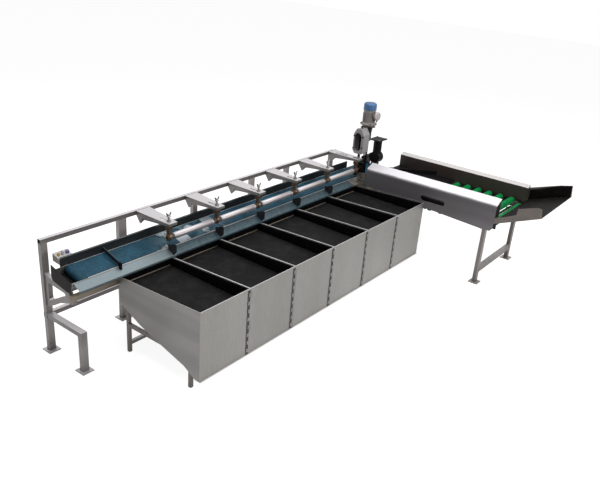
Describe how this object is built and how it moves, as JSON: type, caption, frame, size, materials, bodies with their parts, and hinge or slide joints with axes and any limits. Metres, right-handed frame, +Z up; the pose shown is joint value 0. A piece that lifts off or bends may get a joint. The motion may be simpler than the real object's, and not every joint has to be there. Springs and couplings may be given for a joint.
{
  "type": "fruit grading machine",
  "caption": "Fruit sizing line: roller infeed with hopper, tilted belt under height-set sizing rollers, padded sloping bins and rear tube frame.",
  "frame": {"origin": "centre of the machine's outline on the floor", "axes": "+X along the line towards the infeed, +Y from the bins to the rear frame, +Z up"},
  "size_m": [5.128, 2.752, 1.688],
  "materials": {
    "bin_steel": "brushed",
    "beige_paint": "satin",
    "foam": "matte foam",
    "frame_paint": "satin",
    "trough_steel": "satin",
    "belt": "matte",
    "drum_steel": "turned",
    "dark_plate": "satin",
    "apron_sheet": "satin",
    "black_rubber": "matte",
    "stop_steel": "satin",
    "arm_paint": "satin",
    "bearing_brass": "satin",
    "zinc": "zinc plated",
    "roller_steel": "polished",
    "joint_steel": "oiled",
    "cover_paint": "satin",
    "motor_paint": "satin",
    "fan_blue": "satin",
    "reducer_paint": "satin",
    "black_paint": "satin",
    "panel_grey": "satin",
    "panel_brown": "satin",
    "green_plastic": "moulded",
    "hopper_steel": "brushed",
    "blue_grey_paint": "satin"
  },
  "bodies": {
    "frame": {"bin_fronts": "bin_steel", "bin_dividers": "bin_steel", "bin_floor": "bin_steel", "bin_back": "beige_paint", "front_rail": "beige_paint", "bin_linings": "foam", "bin_stand": "frame_paint", "stand_rail": "frame_paint", "posts": "frame_paint", "top_beam": "frame_paint", "lower_rail": "frame_paint", "outriggers": "frame_paint", "trough_brackets": "frame_paint", "infeed_legs": "frame_paint", "slider_bed": "trough_steel", "take_up": "trough_steel", "belt": "belt", "drum_plates": "dark_plate", "back_guard": "dark_plate", "apron": "apron_sheet", "divider_fins": "black_rubber", "stop_rubber": "black_rubber", "hopper_pads": "black_rubber", "transfer_chute": "black_rubber", "stop_plate": "stop_steel", "arms": "arm_paint", "drive_arm": "arm_paint", "carrier_chains": "joint_steel", "belt_gearmotor": "black_paint", "infeed_panel_near": "panel_grey", "infeed_panel_far": "panel_brown", "carrier_rollers": "green_plastic", "hopper": "hopper_steel", "infeed_gearmotor": "blue_grey_paint"},
    "carriage": {"hangers": "arm_paint", "bearing_units": "bearing_brass", "drive_bracket": "dark_plate", "drive_cover": "cover_paint", "drive_motor": "motor_paint", "fan_cover": "fan_blue", "reducer": "reducer_paint", "drive_chain": "joint_steel"},
    "screw_1": {"wing_screw_1": "zinc"},
    "screw_2": {"wing_screw_2": "zinc"},
    "screw_3": {"wing_screw_3": "zinc"},
    "screw_4": {"wing_screw_4": "zinc"},
    "screw_5": {"wing_screw_5": "zinc"},
    "sizing_line": {"roller_1": "roller_steel", "roller_2": "roller_steel", "roller_3": "roller_steel", "roller_4": "roller_steel", "roller_5": "roller_steel", "roller_joints": "joint_steel", "low_sprocket": "joint_steel"},
    "upper_sprocket": {"top_sprocket": "joint_steel"},
    "tail_drum": {"tail_drum": "drum_steel"},
    "drive_drum": {"drive_drum": "drum_steel"},
    "head_shaft": {"head_shaft": "joint_steel"},
    "tail_shaft": {"tail_shaft": "joint_steel"}
  },
  "joints": [
    {"name": "carriage_slide", "type": "slide", "parent": "frame", "child": "carriage", "axis": [0, 0, 1], "range_m": [-0.026, 0.03]},
    {"name": "screw_1_turn", "type": "hinge", "parent": "carriage", "child": "screw_1", "pos_m": [-1.526, 0.921, 1.05], "axis": [0, 0, 1], "range_deg": [-1171, 1351]},
    {"name": "screw_2_turn", "type": "hinge", "parent": "carriage", "child": "screw_2", "pos_m": [-0.926, 0.921, 1.05], "axis": [0, 0, 1], "range_deg": [-1171, 1351]},
    {"name": "screw_3_turn", "type": "hinge", "parent": "carriage", "child": "screw_3", "pos_m": [-0.326, 0.921, 1.05], "axis": [0, 0, 1], "range_deg": [-1171, 1351]},
    {"name": "screw_4_turn", "type": "hinge", "parent": "carriage", "child": "screw_4", "pos_m": [0.274, 0.921, 1.05], "axis": [0, 0, 1], "range_deg": [-1171, 1351]},
    {"name": "screw_5_turn", "type": "hinge", "parent": "carriage", "child": "screw_5", "pos_m": [0.874, 0.921, 1.05], "axis": [0, 0, 1], "range_deg": [-1171, 1351]},
    {"name": "sizing_spin", "type": "hinge", "parent": "carriage", "child": "sizing_line", "pos_m": [-0.026, 0.921, 0.891], "axis": [1, 0, 0], "continuous": true},
    {"name": "upper_sprocket_spin", "type": "hinge", "parent": "carriage", "child": "upper_sprocket", "pos_m": [1.574, 0.921, 1.33], "axis": [1, 0, 0], "continuous": true},
    {"name": "drive_drum_turn", "type": "hinge", "parent": "frame", "child": "drive_drum", "pos_m": [2.008, 0.95011, 0.75466], "axis": [0, 0.9563, 0.2924], "continuous": true},
    {"name": "tail_drum_turn", "type": "hinge", "parent": "frame", "child": "tail_drum", "pos_m": [-2.411, 0.95011, 0.75466], "axis": [0, 0.9563, 0.2924], "continuous": true},
    {"name": "head_shaft_turn", "type": "hinge", "parent": "frame", "child": "head_shaft", "pos_m": [1.974, -0.066, 0.705], "axis": [1, 0, 0], "continuous": true},
    {"name": "tail_shaft_turn", "type": "hinge", "parent": "frame", "child": "tail_shaft", "pos_m": [1.974, -0.798, 0.705], "axis": [1, 0, 0], "continuous": true}
  ],
  "couplings": [
    {"joint": "screw_1_turn", "follows": "carriage_slide", "rad_per_m": 785.4},
    {"joint": "screw_2_turn", "follows": "carriage_slide", "rad_per_m": 785.4},
    {"joint": "screw_3_turn", "follows": "carriage_slide", "rad_per_m": 785.4},
    {"joint": "screw_4_turn", "follows": "carriage_slide", "rad_per_m": 785.4},
    {"joint": "screw_5_turn", "follows": "carriage_slide", "rad_per_m": 785.4},
    {"joint": "upper_sprocket_spin", "follows": "sizing_spin", "ratio": 1},
    {"joint": "tail_drum_turn", "follows": "drive_drum_turn", "ratio": 1},
    {"joint": "tail_shaft_turn", "follows": "head_shaft_turn", "ratio": 1}
  ]
}
